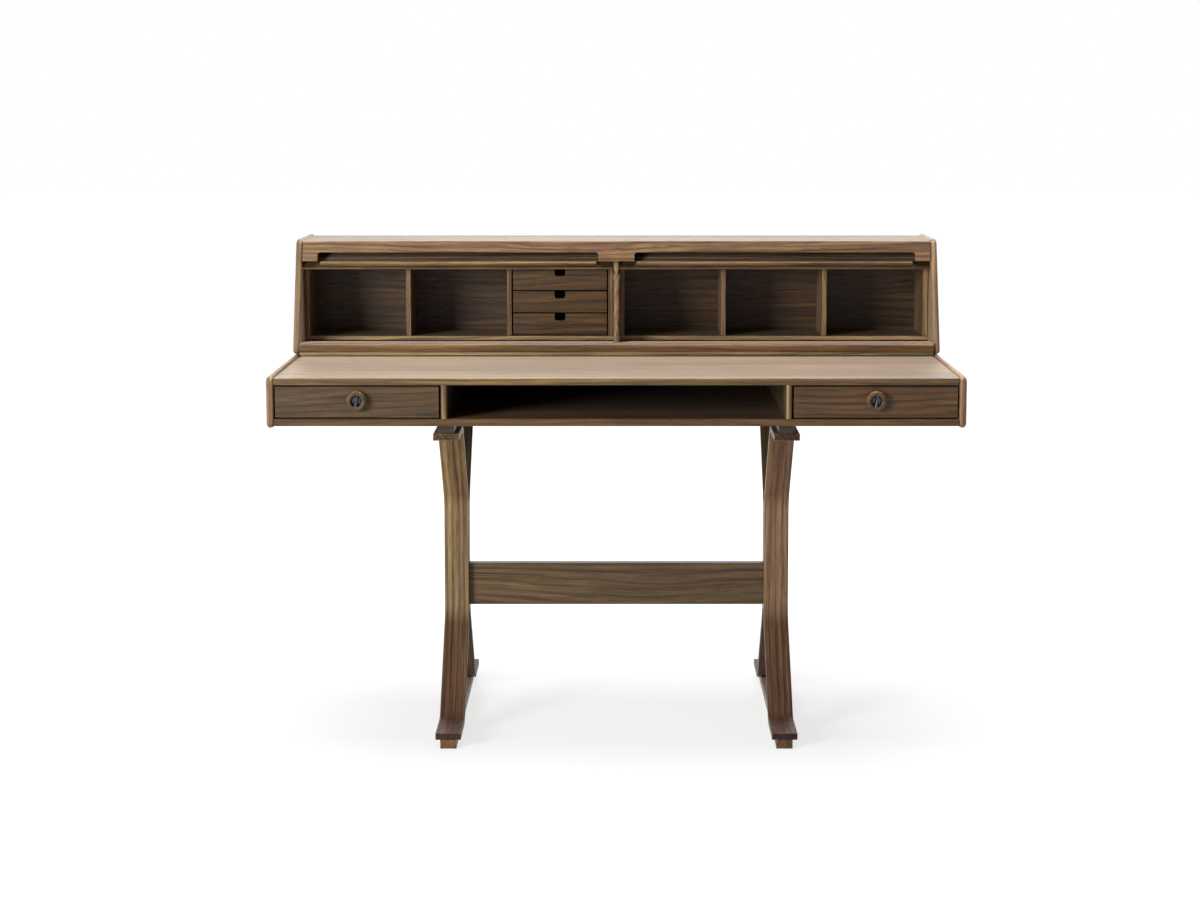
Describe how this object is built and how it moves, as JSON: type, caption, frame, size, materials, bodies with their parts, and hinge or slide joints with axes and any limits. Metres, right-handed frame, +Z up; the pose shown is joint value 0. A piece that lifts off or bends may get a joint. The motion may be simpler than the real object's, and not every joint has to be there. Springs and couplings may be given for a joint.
{
  "type": "tambour writing desk",
  "caption": "Walnut writing desk with a shallow drawer case on bent-laminated trestles and a sloped hutch of pigeonholes closed by tambour shutters.",
  "frame": {"origin": "middle of the desk's footprint box, on the floor", "axes": "+X to the sitter's right along the desk, +Y towards the back, +Z up; the sitter faces +Y"},
  "size_m": [1.4, 0.7146, 1.0135],
  "materials": {
    "walnut_board": "oiled",
    "walnut_upright": "oiled",
    "walnut_laminated": "oiled",
    "walnut_runner": "oiled",
    "walnut_drawer_front": "oiled",
    "walnut_drawer_box": "waxed",
    "walnut_turned": "oiled",
    "walnut_slat": "oiled",
    "canvas": "plain weave",
    "burnished_steel": "burnished",
    "dark_steel": "blackened"
  },
  "bodies": {
    "desk": {"case_top": "walnut_board", "case_bottom": "walnut_board", "case_side_left": "walnut_upright", "case_side_right": "walnut_upright", "case_divider_left": "walnut_upright", "case_divider_right": "walnut_upright", "case_back": "walnut_board", "drawer_runners": "walnut_runner", "hutch_side_left": "walnut_upright", "hutch_side_right": "walnut_upright", "hutch_top": "walnut_board", "hutch_fascia": "walnut_board", "hutch_nosing": "walnut_board", "hutch_base": "walnut_board", "hutch_floor": "walnut_board", "hutch_ceiling": "walnut_board", "hutch_back": "walnut_board", "hutch_partition": "walnut_upright", "compartment_back": "walnut_board", "compartment_liners": "walnut_upright", "hutch_spacers": "walnut_board", "divider_left_inner": "walnut_upright", "divider_left_outer": "walnut_upright", "divider_right_inner": "walnut_upright", "divider_right_outer": "walnut_upright", "trestle_left_leg_front": "walnut_laminated", "trestle_left_leg_back": "walnut_laminated", "trestle_left_core": "walnut_upright", "trestle_left_floor_runner": "walnut_runner", "trestle_left_head_rail": "walnut_runner", "trestle_right_leg_front": "walnut_laminated", "trestle_right_leg_back": "walnut_laminated", "trestle_right_core": "walnut_upright", "trestle_right_floor_runner": "walnut_runner", "trestle_right_head_rail": "walnut_runner", "stretcher": "walnut_board", "stretcher_bolts": "dark_steel", "trestle_screws": "dark_steel"},
    "drawer_left": {"drawer_left_front": "walnut_drawer_front", "drawer_left_box": "walnut_drawer_box", "drawer_left_knob": "walnut_turned", "drawer_left_pull": "burnished_steel"},
    "drawer_right": {"drawer_right_front": "walnut_drawer_front", "drawer_right_box": "walnut_drawer_box", "drawer_right_knob": "walnut_turned", "drawer_right_pull": "burnished_steel"},
    "small_drawer_top": {"small_drawer_top_front": "walnut_drawer_front", "small_drawer_top_tray": "walnut_drawer_box"},
    "small_drawer_middle": {"small_drawer_middle_front": "walnut_drawer_front", "small_drawer_middle_tray": "walnut_drawer_box"},
    "small_drawer_bottom": {"small_drawer_bottom_front": "walnut_drawer_front", "small_drawer_bottom_tray": "walnut_drawer_box"},
    "tambour_left": {"tambour_left_slats": "walnut_slat", "tambour_left_canvas": "canvas", "tambour_left_rail": "walnut_slat", "tambour_left_handle": "walnut_slat"},
    "tambour_right": {"tambour_right_slats": "walnut_slat", "tambour_right_canvas": "canvas", "tambour_right_rail": "walnut_slat", "tambour_right_handle": "walnut_slat"}
  },
  "joints": [
    {"name": "drawer_left_slide", "type": "slide", "parent": "desk", "child": "drawer_left", "axis": [0, -1, 0], "range_m": [0, 0.32]},
    {"name": "drawer_right_slide", "type": "slide", "parent": "desk", "child": "drawer_right", "axis": [0, -1, 0], "range_m": [0, 0.32]},
    {"name": "small_drawer_top_slide", "type": "slide", "parent": "desk", "child": "small_drawer_top", "axis": [0, -1, 0], "range_m": [0, 0.1]},
    {"name": "small_drawer_middle_slide", "type": "slide", "parent": "desk", "child": "small_drawer_middle", "axis": [0, -1, 0], "range_m": [0, 0.1]},
    {"name": "small_drawer_bottom_slide", "type": "slide", "parent": "desk", "child": "small_drawer_bottom", "axis": [0, -1, 0], "range_m": [0, 0.1]},
    {"name": "tambour_left_roll", "type": "hinge", "parent": "desk", "child": "tambour_left", "pos_m": [-0.346, 0.23725, 0.841], "axis": [-1, 0, 0], "range_deg": [-61.5, 2]},
    {"name": "tambour_right_roll", "type": "hinge", "parent": "desk", "child": "tambour_right", "pos_m": [0.346, 0.23725, 0.841], "axis": [-1, 0, 0], "range_deg": [-61.5, 2]}
  ]
}
